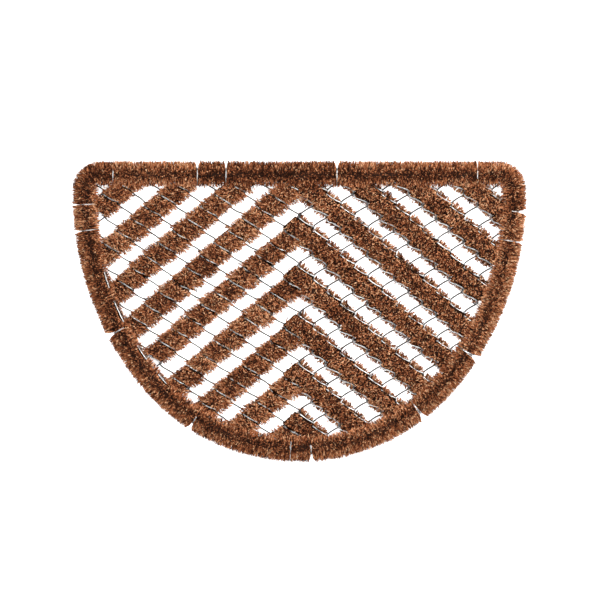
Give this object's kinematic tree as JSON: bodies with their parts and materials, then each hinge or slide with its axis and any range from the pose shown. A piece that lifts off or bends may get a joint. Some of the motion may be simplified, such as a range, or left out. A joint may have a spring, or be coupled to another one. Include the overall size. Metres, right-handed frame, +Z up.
{
  "type": "half round coir doormat",
  "caption": "Half round wire brush doormat: diagonal coir rows meeting in chevrons in a zigzag wire mesh, with a coir brush border tied round a steel rod.",
  "frame": {"origin": "under the middle of the mat's bounding box, on the ground", "axes": "+X along the straight back edge to the right in the picture, +Y towards the back edge, +Z up"},
  "size_m": [0.6, 0.397, 0.024],
  "materials": {
    "coir": "coarse bristle, orange brown at the tips and nearly black between the fibres",
    "steel": "galvanised wire, satin"
  },
  "bodies": {
    "root": {"frame_rod": "steel", "wire_mesh": "steel", "border_back_a": "coir", "tie_back_a": "steel", "border_back_b": "coir", "tie_back_b": "steel", "border_back_c": "coir", "tie_back_c": "steel", "border_left_a": "coir", "tie_left_a": "steel", "border_left_b": "coir", "tie_left_b": "steel", "border_left_c": "coir", "tie_left_c": "steel", "border_front_a": "coir", "tie_front_a": "steel", "border_front_b": "coir", "tie_front_b": "steel", "border_front_c": "coir", "tie_front_c": "steel", "border_right_a": "coir", "tie_right_a": "steel", "border_right_b": "coir", "tie_right_b": "steel", "border_right_c": "coir", "tie_right_c": "steel", "border_right_d": "coir", "tie_right_d": "steel", "border_back_d": "coir", "tie_back_d": "steel", "border_back_e": "coir", "tie_back_e": "steel", "row_left_1": "coir", "row_right_1": "coir", "row_left_2": "coir", "row_right_2": "coir", "row_left_3": "coir", "row_right_3": "coir", "row_left_4": "coir", "row_right_4": "coir", "row_left_5": "coir", "row_right_5": "coir", "row_left_6": "coir", "row_right_6": "coir", "row_left_7": "coir", "row_right_7": "coir", "row_left_8": "coir", "row_right_8": "coir", "row_left_9": "coir", "row_right_9": "coir"}
  },
  "joints": []
}
